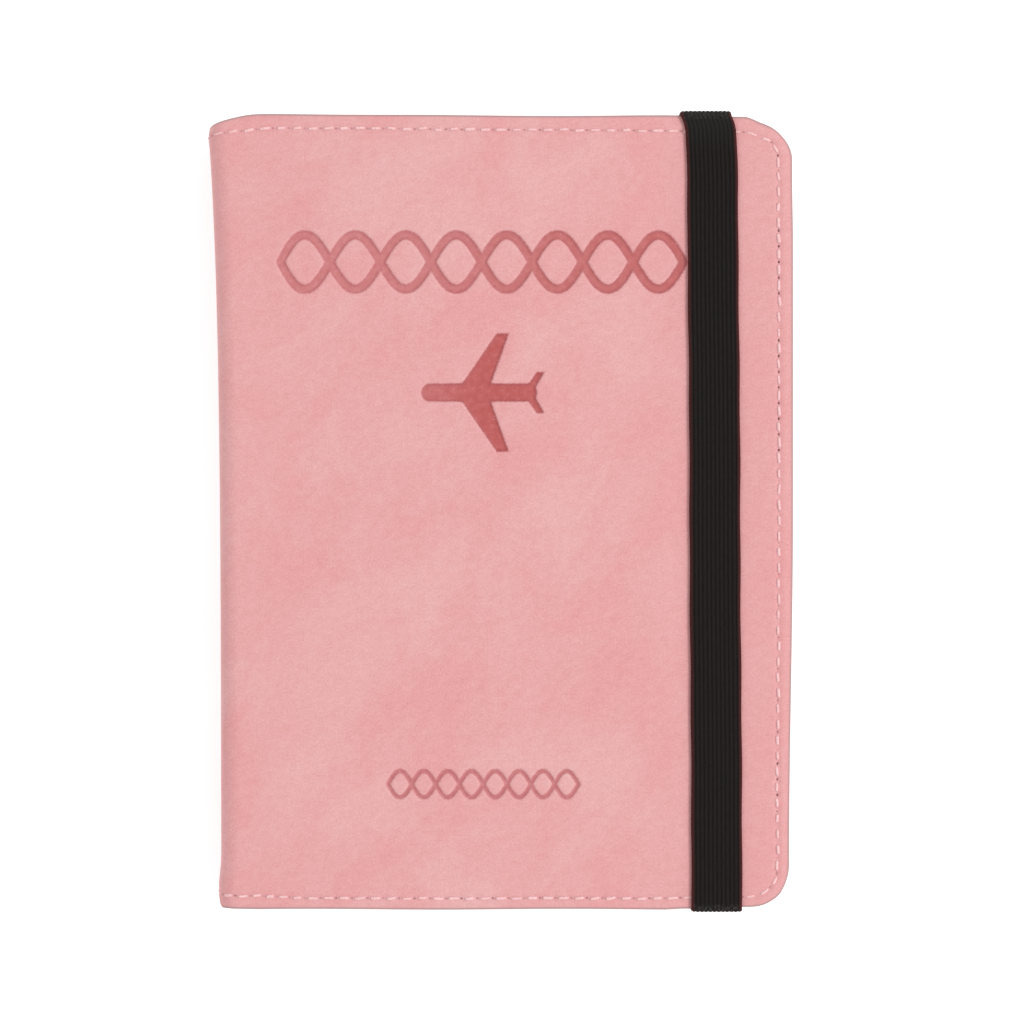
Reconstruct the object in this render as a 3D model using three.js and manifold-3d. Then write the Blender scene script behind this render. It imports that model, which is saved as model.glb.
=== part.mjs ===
// Passport holder with an elastic band, closed and lying on its back cover.
// Millimetres, +X to the fore-edge, +Y to the head, +Z up through the front cover.
// The origin is the middle of the back cover's outer face. Three groups of pieces turn
// against each other: back, spine and front covers, and the band swings round the fore-edge.
import * as THREE from 'three';
import { mergeVertices } from 'three/addons/utils/BufferGeometryUtils.js';
import Module from 'manifold-3d';

const wasm = await Module();
wasm.setup();

// ---- driving dimensions ----
const WIDTH = 105; // spine to fore-edge
const HEIGHT = 143; // head to tail
const THICKNESS = 13.5; // closed, without the band
const CORNER_RADIUS = 8; // fore-edge corners
const SPINE_RADIUS = 3.5; // outer radius of both creases

// one cover, from its outer face inwards
const SKIN = 0.9;
const BOARD = 0.7;
const FILM = 0.15;
const LINING = 0.3;
const GLUE_GAP = 0.03;
const INNER_INSET = 0.3; // hidden layers stop short of the cut edge
const CREASE_GAP = 0.3; // between the cover panels and the spine panel
const BOARD_SETBACK = 3; // from the crease to the board and the film

// pockets: a panel held at a rim on three sides, with slack behind it
const POCKET_RIM = 4;
const SLEEVE = { slack: 0.5, panel: 0.7, mouthX: -26 };
const SLIP = { slack: 0.3, panel: 0.6, mouthX: -44 };
const CARD = { slack: 0.3, panel: 0.6, count: 3, firstMouthY: 30, step: -13, depth: 48 };
const CARD_SPINE_EDGE_X = -41;

// seams: thread lying in a pressed channel
const SEAM_INSET = 2.3;
const CHANNEL_WIDTH = 0.8;
const CHANNEL_DEPTH = 0.36;
const THREAD_WIDTH = 0.5;
const THREAD_HEIGHT = 0.3;
const THREAD_SINK = 0.03;

// elastic band
const BAND_WIDTH = 9.1;
const BAND_THICK = 0.8;
const BAND_X = 38.6;
const BAND_CLEAR = 0.03; // above the front cover
const BAND_END_CLEAR = 0.1; // off the head and tail edges
const BAND_BEND = 0.75; // outer radius where it turns over an edge
const BAND_TAIL = 9; // sewn-in length
const TAIL_GAP = 0.3;

// pressed decoration on the front cover
const PRESS_DEPTH = 0.3;
const WIDE_BRAID = { x: -3.3, y: 44.8, length: 74, height: 11.6, stroke: 1.7, periods: 4 };
const SMALL_BRAID = { x: -3.2, y: -49, length: 35, height: 5.6, stroke: 0.9, periods: 4 };
const BRAID_STEPS = 8; // straight pieces in one wave
const PLANE = { x: -3.2, y: 21.2, length: 22.3, span: 21.4, body: 3.2 };

const ARC_STEPS = 8;
const SPINE_X = -WIDTH / 2;
const FORE_X = WIDTH / 2;
const CREASE_X = SPINE_X + SPINE_RADIUS;
const PANEL_X = CREASE_X + CREASE_GAP;

// ---- materials ----
const finish = (color, roughness, metalness = 0) =>
  new THREE.MeshStandardMaterial({ color, roughness, metalness });
const LEATHER = finish('#e6a9a8', 0.62);
const POCKET_LEATHER = finish('#e2a2a2', 0.66);
const FABRIC = finish('#d58f92', 0.85);
const CARDBOARD = finish('#8c7b6a', 0.9);
const RFID_FILM = finish('#b9bcc0', 0.35, 0.9);
const THREAD = finish('#f3e3e0', 0.7);
const ELASTIC = finish('#262423', 0.85);

// ---- solids ----
const manifoldOf = (geometry) => {
  const bare = geometry.clone();
  bare.deleteAttribute('normal');
  bare.deleteAttribute('uv');
  const welded = mergeVertices(bare, 1e-4);
  return new wasm.Manifold(
    new wasm.Mesh({
      numProp: 3,
      vertProperties: new Float32Array(welded.attributes.position.array),
      triVerts: new Uint32Array(welded.index.array),
    }),
  );
};

const geometryOf = (solid) => {
  const mesh = solid.getMesh();
  const geometry = new THREE.BufferGeometry();
  geometry.setAttribute('position', new THREE.BufferAttribute(mesh.vertProperties, 3));
  geometry.setIndex(new THREE.BufferAttribute(mesh.triVerts, 1));
  return geometry.toNonIndexed();
};

const cut = (geometry, ...tools) => {
  const solid = tools.reduce((s, tool) => s.subtract(manifoldOf(tool)), manifoldOf(geometry));
  return geometryOf(solid);
};

// a flat outline in X and Y, raised from zLow by height
const slab = (shape, zLow, height) => {
  const settings = { depth: height, bevelEnabled: false, curveSegments: ARC_STEPS };
  return new THREE.ExtrudeGeometry(shape, settings).translate(0, 0, zLow);
};

const box = (x0, x1, y0, y1, z0, z1) =>
  new THREE.BoxGeometry(x1 - x0, y1 - y0, z1 - z0).translate(
    (x0 + x1) / 2,
    (y0 + y1) / 2,
    (z0 + z1) / 2,
  );

// a shape drawn in X and Z, standing along Y from y0 to y1
const alongY = (shape, y0, y1) => {
  const settings = { depth: y1 - y0, bevelEnabled: false, curveSegments: ARC_STEPS };
  const geometry = new THREE.ExtrudeGeometry(shape, settings);
  return geometry.rotateX(Math.PI / 2).translate(0, y1, 0);
};

// a shape drawn in Y and Z, running along X from x0 to x1
const alongX = (shape, x0, x1) => {
  const settings = { depth: x1 - x0, bevelEnabled: false, curveSegments: ARC_STEPS };
  const geometry = new THREE.ExtrudeGeometry(shape, settings);
  return geometry.rotateY(Math.PI / 2).rotateX(Math.PI / 2).translate(x0, 0, 0);
};

// ---- outlines ----
// a cover outline: square at the spine side, rounded at the fore-edge
const coverShape = (spineX, inset, yLow = -HEIGHT / 2 + inset, yHigh = HEIGHT / 2 - inset) => {
  const right = FORE_X - inset;
  const r = CORNER_RADIUS - inset;
  const shape = new THREE.Shape();
  shape.moveTo(spineX, yLow);
  shape.lineTo(right - r, yLow);
  shape.absarc(right - r, yLow + r, r, -Math.PI / 2, 0, false);
  if (yHigh > HEIGHT / 2 - CORNER_RADIUS) {
    shape.absarc(right - r, yHigh - r, r, 0, Math.PI / 2, false);
  } else {
    shape.lineTo(right, yHigh);
  }
  shape.lineTo(spineX, yHigh);
  shape.closePath();
  return shape;
};

// the points of an outline without the closing one, so it can be joined to another
const openPoints = (shape) => {
  const points = shape.getPoints(ARC_STEPS);
  const last = points[points.length - 1];
  return last.distanceTo(points[0]) < 1e-6 ? points.slice(0, -1) : points;
};

// the strip along the three stitched edges, of a given width
const seamShape = (width) => {
  const outer = openPoints(coverShape(PANEL_X, SEAM_INSET - width / 2));
  const inner = openPoints(coverShape(PANEL_X, SEAM_INSET + width / 2));
  return new THREE.Shape([...outer, ...inner.reverse()]);
};

// a bent sheet round the spine, between two depths under its outer face
const spineShape = (depth, thick) => {
  const outer = SPINE_RADIUS - depth;
  const inner = outer - thick;
  const top = THICKNESS - SPINE_RADIUS;
  const shape = new THREE.Shape();
  shape.moveTo(CREASE_X, SPINE_RADIUS - outer);
  shape.absarc(CREASE_X, SPINE_RADIUS, outer, -Math.PI / 2, -Math.PI, true);
  shape.absarc(CREASE_X, top, outer, Math.PI, Math.PI / 2, true);
  shape.absarc(CREASE_X, top, inner, Math.PI / 2, Math.PI, false);
  shape.absarc(CREASE_X, SPINE_RADIUS, inner, -Math.PI, -Math.PI / 2, false);
  shape.closePath();
  return shape;
};

// one wave of constant stroke, centred on x and y
const waveShape = ({ x, y, length, height, stroke, periods }, phase) => {
  const swing = (height - stroke) / 2;
  const steps = periods * BRAID_STEPS;
  const turns = 2 * Math.PI * periods;
  const edge = (side) =>
    Array.from({ length: steps + 1 }, (_, i) => {
      const u = i / steps;
      const angle = turns * u + phase;
      const slope = (swing * turns * Math.cos(angle)) / length;
      const nudge = (side * stroke) / 2 / Math.hypot(1, slope);
      const along = x - length / 2 + length * u - nudge * slope;
      return new THREE.Vector2(along, y + swing * Math.sin(angle) + nudge);
    });
  return new THREE.Shape([...edge(-1), ...edge(1).reverse()]);
};

// an aeroplane from above, flying towards the spine
const planeShape = ({ x, y, length, span, body }) => {
  const half = [
    [-0.5, 0],
    [-0.46, 0.32 * body],
    [-0.38, 0.5 * body],
    [-0.12, 0.5 * body],
    [0.07, 0.5 * span],
    [0.16, 0.5 * span],
    [0.12, 0.5 * body],
    [0.36, 0.42 * body],
    [0.44, 0.2 * span],
    [0.5, 0.2 * span],
    [0.47, 0],
  ];
  const upper = half.map(([u, v]) => new THREE.Vector2(x + u * length, y + v));
  const lower = half.slice(1, -1).map(([u, v]) => new THREE.Vector2(x + u * length, y - v));
  return new THREE.Shape([...upper, ...lower.reverse()]);
};

// ---- one cover: layers measured as depths under its outer face ----
const pocketDepth = SKIN + BOARD + FILM + LINING + 4 * GLUE_GAP;

// turns a depth range into heights, from below for the back and from above for the front
const lowerFace = (cover, depth, thick) => (cover === 'back' ? depth : THICKNESS - depth - thick);

const layer = (cover, shape, depth, thick) => slab(shape, lowerFace(cover, depth, thick), thick);

// cuts room for the two sewn-in ends of the band
const tailCutters = (depth, thick) =>
  [1, -1].map((end) => {
    const inside = end * (HEIGHT / 2 - BAND_TAIL - TAIL_GAP);
    const outside = end * (HEIGHT / 2 + 1);
    const reach = BAND_WIDTH / 2 + TAIL_GAP;
    const ys = [Math.min(inside, outside), Math.max(inside, outside)];
    return box(BAND_X - reach, BAND_X + reach, ...ys, depth - 0.1, depth + thick + 0.1);
  });

const outerPanel = (cover) => {
  const channel = layer(cover, seamShape(CHANNEL_WIDTH), -1, 1 + CHANNEL_DEPTH);
  return cut(layer(cover, coverShape(PANEL_X, 0), 0, SKIN), channel);
};

const pressedPanel = () => {
  const waves = [WIDE_BRAID, SMALL_BRAID].flatMap((braid) =>
    [0, Math.PI].map((phase) => waveShape(braid, phase)),
  );
  const cutters = [...waves, planeShape(PLANE)].map((shape) =>
    layer('front', shape, -1, 1 + PRESS_DEPTH),
  );
  return cut(outerPanel('front'), ...cutters);
};

const stiffener = (cover, depth, thick) => {
  const sheet = layer(cover, coverShape(CREASE_X + BOARD_SETBACK, INNER_INSET), depth, thick);
  return cover === 'back' ? cut(sheet, ...tailCutters(depth, thick)) : sheet;
};

const seamThread = (cover) => layer(cover, seamShape(THREAD_WIDTH), THREAD_SINK, THREAD_HEIGHT);

// a panel with slack behind it, open towards the spine
const sidePocket = (cover, { slack, panel, mouthX }) => {
  const depth = pocketDepth;
  const body = layer(cover, coverShape(mouthX, INNER_INSET), depth, slack + panel);
  const room = coverShape(mouthX - 1, POCKET_RIM);
  return cut(body, layer(cover, room, depth - 1, slack + 1));
};

// a card slot over the slip pocket, open towards the head
const cardSlot = (index) => {
  const { slack, panel, firstMouthY, step, depth: reach } = CARD;
  const under = pocketDepth + SLIP.slack + SLIP.panel + GLUE_GAP;
  const depth = under + index * (slack + panel + GLUE_GAP);
  const mouth = firstMouthY + index * step;
  const outline = coverShape(CARD_SPINE_EDGE_X, INNER_INSET, INNER_INSET - HEIGHT / 2, mouth);
  const body = layer('front', outline, depth, slack + panel);
  const highZ = THICKNESS - depth;
  const room = box(
    CARD_SPINE_EDGE_X + POCKET_RIM / 2,
    FORE_X - POCKET_RIM,
    mouth - reach,
    mouth + 1,
    highZ - slack,
    highZ + 1,
  );
  return cut(body, room);
};

// stitching that holds the card slots along their spine side
const cardSeam = () => {
  const innermost = pocketDepth + SLIP.slack + SLIP.panel + GLUE_GAP;
  const face = innermost + (CARD.count - 1) * (CARD.slack + CARD.panel + GLUE_GAP);
  const highZ = THICKNESS - face - CARD.slack - CARD.panel - GLUE_GAP;
  const x = CARD_SPINE_EDGE_X + POCKET_RIM / 4;
  const top = CARD.firstMouthY + (CARD.count - 1) * CARD.step - 1;
  const bottom = -HEIGHT / 2 + SEAM_INSET;
  const half = THREAD_WIDTH / 2;
  return box(x - half, x + half, bottom, top, highZ - THREAD_HEIGHT, highZ);
};

// ---- spine ----
const spinePanel = () => {
  const panel = alongY(spineShape(0, SKIN), -HEIGHT / 2, HEIGHT / 2);
  const channels = [1, -1].map((end) => {
    const middle = end * (HEIGHT / 2 - SEAM_INSET);
    const shape = spineShape(-1, 1 + CHANNEL_DEPTH);
    return alongY(shape, middle - CHANNEL_WIDTH / 2, middle + CHANNEL_WIDTH / 2);
  });
  return cut(panel, ...channels);
};

const spineThread = (end) => {
  const middle = end * (HEIGHT / 2 - SEAM_INSET);
  const shape = spineShape(THREAD_SINK, THREAD_HEIGHT);
  return alongY(shape, middle - THREAD_WIDTH / 2, middle + THREAD_WIDTH / 2);
};

// ---- elastic band ----
// strand over the front cover, with both ends turned down over the head and tail edges
const bandStrap = () => {
  const inner = HEIGHT / 2 + BAND_END_CLEAR;
  const outer = inner + BAND_THICK;
  const under = THICKNESS + BAND_CLEAR;
  const over = under + BAND_THICK;
  const foot = SKIN + GLUE_GAP;
  const r = BAND_BEND;
  const shape = new THREE.Shape();
  shape.moveTo(-outer, foot);
  shape.lineTo(-inner, foot);
  shape.lineTo(-inner, under);
  shape.lineTo(inner, under);
  shape.lineTo(inner, foot);
  shape.lineTo(outer, foot);
  shape.absarc(outer - r, over - r, r, 0, Math.PI / 2, false);
  shape.absarc(-outer + r, over - r, r, Math.PI / 2, Math.PI, false);
  shape.closePath();
  return alongX(shape, BAND_X - BAND_WIDTH / 2, BAND_X + BAND_WIDTH / 2);
};

const bandEnd = (end) => {
  const outside = end * (HEIGHT / 2 - TAIL_GAP);
  const inside = end * (HEIGHT / 2 - BAND_TAIL);
  const half = BAND_WIDTH / 2;
  const ys = [Math.min(inside, outside), Math.max(inside, outside)];
  const foot = SKIN + GLUE_GAP;
  return box(BAND_X - half, BAND_X + half, ...ys, foot, foot + BAND_THICK);
};

// ---- assembly ----
const group = new THREE.Group();
group.name = 'passport_holder';

const add = (name, geometry, material) => {
  const mesh = new THREE.Mesh(geometry, material);
  mesh.name = name;
  group.add(mesh);
};

const boardDepth = SKIN + GLUE_GAP;
const filmDepth = boardDepth + BOARD + GLUE_GAP;
const liningDepth = filmDepth + FILM + GLUE_GAP;

add('back_outer_panel', outerPanel('back'), LEATHER);
add('front_outer_panel', pressedPanel(), LEATHER);
for (const cover of ['back', 'front']) {
  const lining = layer(cover, coverShape(PANEL_X, INNER_INSET), liningDepth, LINING);
  add(`${cover}_board`, stiffener(cover, boardDepth, BOARD), CARDBOARD);
  add(`${cover}_rfid_film`, stiffener(cover, filmDepth, FILM), RFID_FILM);
  add(`${cover}_lining`, lining, FABRIC);
  add(`${cover}_seam_thread`, seamThread(cover), THREAD);
}

add('passport_sleeve', sidePocket('back', SLEEVE), POCKET_LEATHER);
add('slip_pocket', sidePocket('front', SLIP), POCKET_LEATHER);
for (let i = 0; i < CARD.count; i += 1) {
  add(`card_slot_${i + 1}`, cardSlot(i), POCKET_LEATHER);
}
add('card_slot_seam_thread', cardSeam(), THREAD);

add('spine_outer_panel', spinePanel(), LEATHER);
const spineLiningShape = spineShape(SKIN + GLUE_GAP, LINING);
const spineLiningEnd = HEIGHT / 2 - INNER_INSET;
add('spine_lining', alongY(spineLiningShape, -spineLiningEnd, spineLiningEnd), FABRIC);
add('spine_seam_thread_head', spineThread(1), THREAD);
add('spine_seam_thread_tail', spineThread(-1), THREAD);

add('elastic_band', bandStrap(), ELASTIC);
add('band_end_head', bandEnd(1), ELASTIC);
add('band_end_tail', bandEnd(-1), ELASTIC);

export default group;
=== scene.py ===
import math

import bpy
import numpy as np
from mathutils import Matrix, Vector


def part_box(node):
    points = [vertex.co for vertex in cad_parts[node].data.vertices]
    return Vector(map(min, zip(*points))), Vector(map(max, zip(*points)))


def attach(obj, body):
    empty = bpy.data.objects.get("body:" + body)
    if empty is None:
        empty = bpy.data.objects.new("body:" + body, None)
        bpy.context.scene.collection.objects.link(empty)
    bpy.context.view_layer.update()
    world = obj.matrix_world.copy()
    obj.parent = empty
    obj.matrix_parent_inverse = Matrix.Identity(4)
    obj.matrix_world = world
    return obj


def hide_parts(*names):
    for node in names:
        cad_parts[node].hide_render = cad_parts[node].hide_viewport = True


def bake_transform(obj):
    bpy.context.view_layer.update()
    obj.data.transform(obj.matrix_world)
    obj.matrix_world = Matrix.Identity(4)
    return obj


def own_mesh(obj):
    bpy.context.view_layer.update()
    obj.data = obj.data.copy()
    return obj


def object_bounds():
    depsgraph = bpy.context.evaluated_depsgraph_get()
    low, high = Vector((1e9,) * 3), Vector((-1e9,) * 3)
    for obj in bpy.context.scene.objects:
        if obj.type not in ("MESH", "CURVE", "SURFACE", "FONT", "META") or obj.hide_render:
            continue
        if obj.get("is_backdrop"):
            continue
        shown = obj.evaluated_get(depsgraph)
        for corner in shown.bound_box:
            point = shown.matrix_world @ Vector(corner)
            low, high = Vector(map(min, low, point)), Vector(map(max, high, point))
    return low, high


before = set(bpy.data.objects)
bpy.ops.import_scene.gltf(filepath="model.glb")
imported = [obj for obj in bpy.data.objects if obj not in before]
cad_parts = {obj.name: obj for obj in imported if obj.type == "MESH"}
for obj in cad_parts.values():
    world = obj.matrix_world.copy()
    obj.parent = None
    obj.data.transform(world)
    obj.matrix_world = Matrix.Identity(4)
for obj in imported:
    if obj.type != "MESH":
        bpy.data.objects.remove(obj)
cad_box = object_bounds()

MM = 0.001


def box_mm(node):
    low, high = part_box(node)
    return np.array(low) / MM, np.array(high) / MM


front_low, front_high = box_mm("front_outer_panel")
spine_low, spine_high = box_mm("spine_outer_panel")
FORE, HEAD, THICK = front_high
SKIN = THICK - front_low[2]
CREASE = spine_high[0]
RADIUS = CREASE - spine_low[0]
ARC = RADIUS * math.pi / 2
SPINE_HALF = THICK / 2 - RADIUS  # flat part of the spine, from its middle to a crease
SHEET_START = CREASE - ARC - SPINE_HALF
CORNER = 8.0
BOARD_START = box_mm("front_board")[0][0]
strap_low, strap_high = box_mm("elastic_band")
BAND_X = (strap_low[0] + strap_high[0]) / 2
GLUE = 0.02

# the sewn edge: how far in the seam runs at the head, the fore-edge and the tail
SEAM_HEAD, SEAM_FORE, SEAM_TAIL = 2.5, 2.6, 2.03
SEAM_CORNER = CORNER - SEAM_FORE
STITCH_SPACING = 2.82
THREAD_SINK = 0.13  # how deep the thread pulls the leather down

# pressed decoration: centre, size, stroke and number of waves
WIDE_BRAID = dict(x=-3.5, y=44.8, length=72.6, height=11.4, stroke=1.7, periods=4)
SMALL_BRAID = dict(x=-3.2, y=-49.0, length=34.2, height=5.5, stroke=0.8, periods=4)
PLANE_X, PLANE_Y, PLANE_LENGTH, PLANE_SPAN, PLANE_BODY = -3.2, 21.35, 22.3, 21.3, 3.3
PRESS_DEPTH = 0.3
FAR = 1.5  # distances to the decoration are stored up to this
PLAIN_INK = 0.5  # how dark the small braid is, and the spine end of the wide one


def smooth(x, a, b):
    """0 up to a and 1 from b on, with a smooth rise between them; falls where b is below a."""
    t = np.clip((np.asarray(x, float) - a) / (b - a), 0, 1)
    return t * t * (3 - 2 * t)


# ---------------------------------------------------------------- shape of the sheet


def under_band(X):
    """1 where the elastic lies over the leather, fading to 0 on both sides."""
    return smooth(np.abs(X - BAND_X), 9.5, 5.5)


def drawn_in(X, y):
    """Sideways shift: the spine is hollow at mid-height, the fore-edge leans in towards the tail."""
    hollow = 2.3 * (1 - np.exp(-np.maximum(68 - y, 0) / 32)) - 0.3 - 0.4 * smooth(-y, 62, 68)
    lean = 0.7 * smooth(-y, 0, 62) * (0.4 * smooth(X, 20, 50) + 0.6 * smooth(X, 49.9, 52.3))
    nip = 0.15 * smooth(y, 48, 60) * smooth(y, 68, 63) * smooth(X, 44, 52)
    return hollow * smooth(-X, 36, 49) - lean - nip


def soft_ramp(x, width):
    """x where it is positive and 0 where it is negative, with a round turn between the two."""
    return (x + np.sqrt(x * x + width * width)) / 2


def seam_shift(X, y):
    """Shift along y of the strip that carries the seam: the seam isn't quite parallel to the edges."""
    head_fall = 0.1 + 0.12 * smooth(X, -22, -10) + 0.35 * smooth(X, 5, 44) + 0.26 * smooth(-X, 40, 46)
    head_strip = smooth(y, 62, 68) * smooth(y, 71.4, 69.6) * smooth(X, 50, 45)
    tail_strip = smooth(-y, 62, 68) * smooth(-y, 71.4, 70.0)
    return 0.4 * smooth(-X, 34, 46) * tail_strip - head_fall * head_strip


def dipped(X, y):
    """Shift along y: the head edge falls to both corners, the tail edge turns up at the spine."""
    past = CREASE - X
    head = 0.28 * np.minimum(soft_ramp(past + 4.0, 1.8), 9.5) + 0.36 * smooth(X, -44, 0)
    head = head + 0.19 * smooth(X, 28, 42) + 0.07 * np.sin(X / 6.5)
    corner = 0.75 * smooth(X, 43.7, 46.8) + 0.6 * smooth(X, 48.3, 52.5)
    tail = 0.03 * np.clip(past + 4, 0, 8) + 2.1 * smooth(past, 3.4, 6.2) + 0.25 * smooth(X, 34, 41)
    tail = tail + 0.08 * np.sin(X / 7.3) + 0.2 * under_band(X)
    return tail * smooth(-y, 66, 72.5) - head * smooth(y, 65.5, 72.3) - corner * smooth(y, 57, 70)


def cover_place(side, base=0.0):
    """A map from sheet coordinates and depth to space, for the front (1) or the back (-1) cover."""

    def place(X, y, depth):
        d = (base(X, y) if callable(base) else base) + depth
        bend = np.clip((CREASE - X) / RADIUS, 0, math.pi / 2)
        run = np.maximum(CREASE - X - ARC, 0)
        x = np.maximum(X, CREASE) - np.sin(bend) * (RADIUS - d) + drawn_in(X, y)
        z = THICK - RADIUS + np.cos(bend) * (RADIUS - d) - run
        return np.stack([x, y + dipped(X, y) + seam_shift(X, y), z if side > 0 else THICK - z], axis=-1)

    return place


def lines(*spans):
    """Grid lines, from spans of start, end and widest step."""
    marks = [np.linspace(a, b, max(2, math.ceil((b - a) / step) + 1)) for a, b, step in spans]
    return np.unique(np.round(np.concatenate(marks), 3))


def rows(*spans):
    """Rows of a panel, with close ones where its outline turns a rounded corner."""
    turn = HEAD - CORNER * (1 - np.cos(np.radians(np.arange(0, 91, 5))))
    low, high = min(s[0] for s in spans), max(s[1] for s in spans)
    marks = np.concatenate([lines(*spans), turn, -turn])
    marks = np.unique(marks[(marks >= low) & (marks <= high)])
    keep = np.concatenate([[True], np.diff(marks) > 0.05])
    keep[-1] = True
    return marks[keep]


def seam_fractions(start):
    """Columns from start to the fore-edge, as shares of that width, close together at the seam."""
    width = FORE - start
    seam = width - SEAM_FORE
    return lines((0, seam - 1, 1.5), (seam - 1, seam + 1, 0.25), (seam + 1, width, 0.35))[1:] / width


def fore_edge(y, inset):
    r = CORNER - inset
    over = np.clip(np.abs(y) - (HEAD - CORNER), 0, r)
    return FORE - CORNER + np.sqrt(np.maximum(r * r - over * over, 0))


class Panel:
    """A sheet outline: straight at the spine, head and tail, rounded where it meets the fore-edge."""

    def __init__(self, columns, panel_rows, free_spine=True, trim=0.0):
        self.columns, self.rows, self.free, self.trim = columns, panel_rows, free_spine, trim
        self.shares = seam_fractions(columns[-1])

    def grid(self, inset):
        """Sheet coordinates of the grid with the outline pulled in by inset."""
        low, high = self.rows[0], self.rows[-1]
        y = low + inset + (self.rows - low) * (1 - 2 * inset / (high - low))
        flex, first = self.columns[-1], self.columns[0]
        pull = 1 - (inset / (flex - first) if self.free else 0)
        base = flex - (flex - self.columns) * pull
        width = fore_edge(y, inset + self.trim) - flex
        X = np.hstack([np.tile(base, (len(y), 1)), flex + np.outer(width, self.shares)])
        return X, np.tile(y[:, None], (1, X.shape[1]))

    def margin(self, X, y):
        """Distance in from the outline."""
        to_edge = -seam_distance(X, y, 0, 0, 0, CORNER)
        ends = np.minimum(y - self.rows[0], self.rows[-1] - y)
        if self.free:
            ends = np.minimum(ends, X - self.columns[0])
        return np.minimum(to_edge, ends)


def seam_distance(X, y, head=SEAM_HEAD, fore=SEAM_FORE, tail=SEAM_TAIL, radius=SEAM_CORNER):
    """Distance from a line that runs round the three outer edges, negative towards the spine."""
    middle, half = (tail - head) / 2, HEAD - (head + tail) / 2
    qx = X - (FORE - fore - radius)
    qy = np.abs(y - middle) - (half - radius)
    outside = np.hypot(np.maximum(qx, 0), np.maximum(qy, 0))
    return outside + np.minimum(np.maximum(qx, qy), 0) - radius


# ---------------------------------------------------------------- meshes


def make_object(name, points, faces, material):
    mesh = bpy.data.meshes.new(name)
    mesh.from_pydata((np.asarray(points) * MM).tolist(), [], faces)
    mesh.polygons.foreach_set("use_smooth", [True] * len(mesh.polygons))
    mesh.materials.append(material)
    mesh.validate()
    obj = bpy.data.objects.new(name, mesh)
    bpy.context.scene.collection.objects.link(obj)
    return obj


def set_floats(obj, name, values):
    attribute = obj.data.attributes.new(name, "FLOAT", "POINT")
    attribute.data.foreach_set("value", np.asarray(values, np.float32))


def set_vectors(obj, name, values):
    attribute = obj.data.attributes.new(name, "FLOAT_VECTOR", "POINT")
    attribute.data.foreach_set("vector", np.asarray(values, np.float32).ravel())


def grid_quads(index, flip):
    a, b, c, d = index[:-1, :-1], index[:-1, 1:], index[1:, 1:], index[1:, :-1]
    quads = np.stack([a, d, c, b] if flip else [a, b, c, d], axis=-1)
    return quads.reshape(-1, 4).tolist()


def ring_of(grid):
    return np.concatenate([grid[0, :], grid[1:, -1], grid[-1, -2::-1], grid[-2:0:-1, 0]])


def ring_quads(upper, lower, flip, count=None):
    """Faces between two rings, or only the first ones, which leaves the spine side open."""
    a, b, c, d = upper, lower, np.roll(lower, -1), np.roll(upper, -1)
    return np.stack([a, d, c, b] if flip else [a, b, c, d], axis=-1)[:count].tolist()


HIDDEN_RIM = 6.0  # how far in the hidden face of a cover's leather is drawn


def build_sheet(name, panel, place, thick, side, material, relief=None, edge=0.3, closed=True):
    """A sheet with rounded edges. Its outer face follows relief, a depth over the panel.

    A sheet that runs on over the spine has no edge there, so that it meets the other cover's smoothly.
    """
    relief = relief or (lambda X, y: 0 * X)
    X, y = panel.grid(edge)
    points = [place(X, y, relief(X, y)).reshape(-1, 3)]
    coords = [np.stack([X, y, panel.margin(X, y)], -1).reshape(-1, 3)]
    index = np.arange(X.size).reshape(X.shape)
    faces = grid_quads(index, side < 0)
    upper, count = ring_of(index), X.size
    walls = None if panel.free else 2 * X.shape[1] + X.shape[0] - 3
    quarter = np.radians([30, 60, 90])
    steps = [(edge * (1 - math.sin(a)), edge * (1 - math.cos(a))) for a in quarter]
    steps += [(q, thick - d) for q, d in reversed(steps[:-1])]
    steps += [] if closed else [(edge, thick), (HIDDEN_RIM, thick)]
    for inset, depth in steps:
        RX, Ry = (ring_of(g) for g in panel.grid(inset))
        lower = np.arange(count, count + RX.size)
        lift = relief(RX, Ry) * (1 - depth / thick)
        points.append(place(RX, Ry, depth + lift))
        coords.append(np.stack([RX, Ry, np.full(RX.shape, -depth)], -1))
        faces += ring_quads(upper, lower, side < 0, walls)
        upper, count = lower, count + RX.size
    if closed:
        points.append(place(X, y, thick + 0 * X).reshape(-1, 3))
        coords.append(np.stack([X, y, panel.margin(X, y)], -1).reshape(-1, 3))
        under = index + count
        faces += ring_quads(upper, ring_of(under), side < 0, walls) + grid_quads(under, side > 0)
    obj = make_object(name, np.vstack(points), faces, material)
    set_vectors(obj, "sheet", np.vstack(coords))
    return obj


# ---------------------------------------------------------------- pressed decoration


def braid_distance(X, y, braid):
    """Signed distance to two waves of one stroke that cross each other."""
    swing = (braid["height"] - braid["stroke"]) / 2
    rate = 2 * math.pi * braid["periods"] / braid["length"]
    along = X - braid["x"]
    angle = rate * (along + braid["length"] / 2)
    steep = np.sqrt(1 + (swing * rate * np.cos(angle)) ** 2)
    wave = swing * np.abs(np.sin(angle))
    near = np.abs(np.abs(y - braid["y"]) - wave) / steep
    beyond, off, slope = np.abs(along) - braid["length"] / 2, np.abs(y - braid["y"]), swing * rate
    aside = (off + slope * beyond) / math.hypot(1, slope)
    tip = np.where(slope * off > beyond, aside, np.hypot(beyond, off))
    return np.where(beyond > 0, tip, near) - braid["stroke"] / 2


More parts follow.
